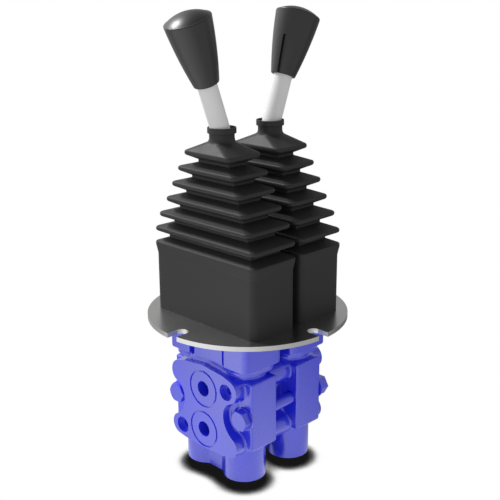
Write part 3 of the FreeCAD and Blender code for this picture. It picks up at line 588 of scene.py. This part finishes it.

# Studio: a pale floor under the ports, blackened around the castings' feet by a painted contact shadow, a
# pale room with a brighter panel behind the left, and one soft lamp high on the left. The camera stands at
# the photograph's place, a little above the panel plate.
camera_place = (-0.38914, -0.38976, 0.20986)
camera_azimuth = math.radians(-45.134)
camera_elevation = math.radians(16.893)
camera_roll = math.radians(-0.28)
camera_lens = 64.65
floor_half = 3.0
floor_drop = 0.0058         # of the floor below the castings' foot
# reach and samples of the painted contact shadow on the floor
contact_reach = 0.0138
contact_samples = 24
floor_glow = 0.62           # how much light the floor throws on the object, where its own brightness is 1
near_far_reach = 0.05       # the floor's mirror image dims from the near side to the far side
near_far = (1.0, 0.35)
left_right_reach = 0.3      # and from the left to the right
left_right = (1.5, 0.6)
room_light = 0.70
room_side_fall = 0.06
room_upward_fall = 0.50
soft_box_light = 0.85       # brightness of a wide panel behind the object's left
soft_box_way = (-0.22, 0.82, 0.52)
soft_box_edge = (0.68, 0.96)
key_power = 10.0
key_size = 0.22
key_place = (-0.26, 0.71, 0.98)
key_target = (0, 0, 0.02)

camera_data = bpy.data.cameras.new("camera")
camera_data.lens = camera_lens
camera = linked("camera", camera_data)
level = math.cos(camera_elevation)
back = Vector((math.sin(camera_azimuth) * level, -math.cos(camera_azimuth) * level,
               math.sin(camera_elevation)))
camera.location = camera_place
camera.rotation_mode = "QUATERNION"
camera.rotation_quaternion = (-back).to_track_quat("-Z", "Y") @ Quaternion((0, 0, 1), camera_roll)
bpy.context.scene.camera = camera
bpy.context.scene.view_settings.view_transform = "Standard"

floor_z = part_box("front_valve_body")[0].z - floor_drop
corners = [(-floor_half, -floor_half, floor_z), (floor_half, -floor_half, floor_z),
           (floor_half, floor_half, floor_z), (-floor_half, floor_half, floor_z)]
floor_mesh = bpy.data.meshes.new("floor")
floor_mesh.from_pydata(corners, [], [(0, 1, 2, 3)])
floor = linked("floor", floor_mesh)
floor_paint, floor_nodes = new_finish("floor_white")
# The floor's colour is a painted contact shadow: ambient occlusion within contact_reach turns it black around
# the castings' feet and white further out.
contact = floor_nodes.node("ShaderNodeAmbientOcclusion", {"samples": contact_samples},
                           {"Distance": contact_reach}, out="AO")
painted_shadow_stops = [(0.74, (0.008, 0.008, 0.008, 1.0)), (0.84, (0.15, 0.15, 0.15, 1.0)),
                (0.92, (1.0, 1.0, 1.0, 1.0))]
painted_contact_shadow = floor_nodes.node("ShaderNodeValToRGB", {"stops": painted_shadow_stops}, {"Fac": contact})
floor_seen = floor_nodes.node("ShaderNodeLightPath", out="Is Camera Ray")
floor_lights = floor_nodes.node("ShaderNodeLightPath", out="Is Diffuse Ray")
floor_place = floor_nodes.node("ShaderNodeTexCoord", out="Object")
dot = {"operation": "DOT_PRODUCT"}
behind = floor_nodes.node("ShaderNodeVectorMath", dot, {0: floor_place, 1: (1.0, 1.0, 0.0)}, out="Value")
fade = floor_nodes.node("ShaderNodeMapRange", inputs={
    "Value": behind, "From Min": -near_far_reach, "From Max": near_far_reach,
    "To Min": near_far[0], "To Max": near_far[1]})
across = floor_nodes.node("ShaderNodeVectorMath", dot, {0: floor_place, 1: (1.0, -1.0, 0.0)}, out="Value")
tilt = floor_nodes.node("ShaderNodeMapRange", inputs={
    "Value": across, "From Min": -left_right_reach, "From Max": left_right_reach,
    "To Min": left_right[0], "To Max": left_right[1]})
mirrored = fade * tilt * (1 - floor_lights) + floor_glow * floor_lights
glow = floor_nodes.node("ShaderNodeEmission", inputs={"Color": painted_contact_shadow,
                                                      "Strength": mirrored * (1 - floor_seen) + floor_seen})
floor_nodes.node("ShaderNodeOutputMaterial", inputs={"Surface": glow})
floor_mesh.materials.append(floor_paint)

room = bpy.data.worlds.new("room")
bpy.context.scene.world = room
room.use_nodes = True
room.node_tree.nodes.clear()
walls = Wire(room.node_tree)
direction = walls.node("ShaderNodeTexCoord", out="Generated")
to_side = walls.node("ShaderNodeSeparateXYZ", inputs={"Vector": direction}, out="X")
upward = walls.node("ShaderNodeSeparateXYZ", inputs={"Vector": direction}, out="Z")
to_box = walls.node("ShaderNodeVectorMath", dot, {0: direction, 1: soft_box_way}, out="Value")
soft_box = walls.node("ShaderNodeMapRange", {"interpolation_type": "SMOOTHSTEP"}, {
    "Value": to_box, "From Min": soft_box_edge[0], "From Max": soft_box_edge[1],
    "To Min": 0.0, "To Max": soft_box_light})
brightness = soft_box + room_light - room_side_fall * to_side - room_upward_fall * upward
seen = walls.node("ShaderNodeLightPath", out="Is Camera Ray")
white_light = {"Color": (1.0, 1.0, 1.0, 1.0), "Strength": brightness * (1 - seen) + seen}
shining = walls.node("ShaderNodeBackground", inputs=white_light)
walls.node("ShaderNodeOutputWorld", inputs={"Surface": shining})

key_data = bpy.data.lights.new("key", "AREA")
key_data.energy = key_power
key_data.size = key_size
key = linked("key", key_data)
key.location = key_place
key.rotation_mode = "QUATERNION"
key.rotation_quaternion = (Vector(key_target) - key.location).to_track_quat("-Z", "Y")
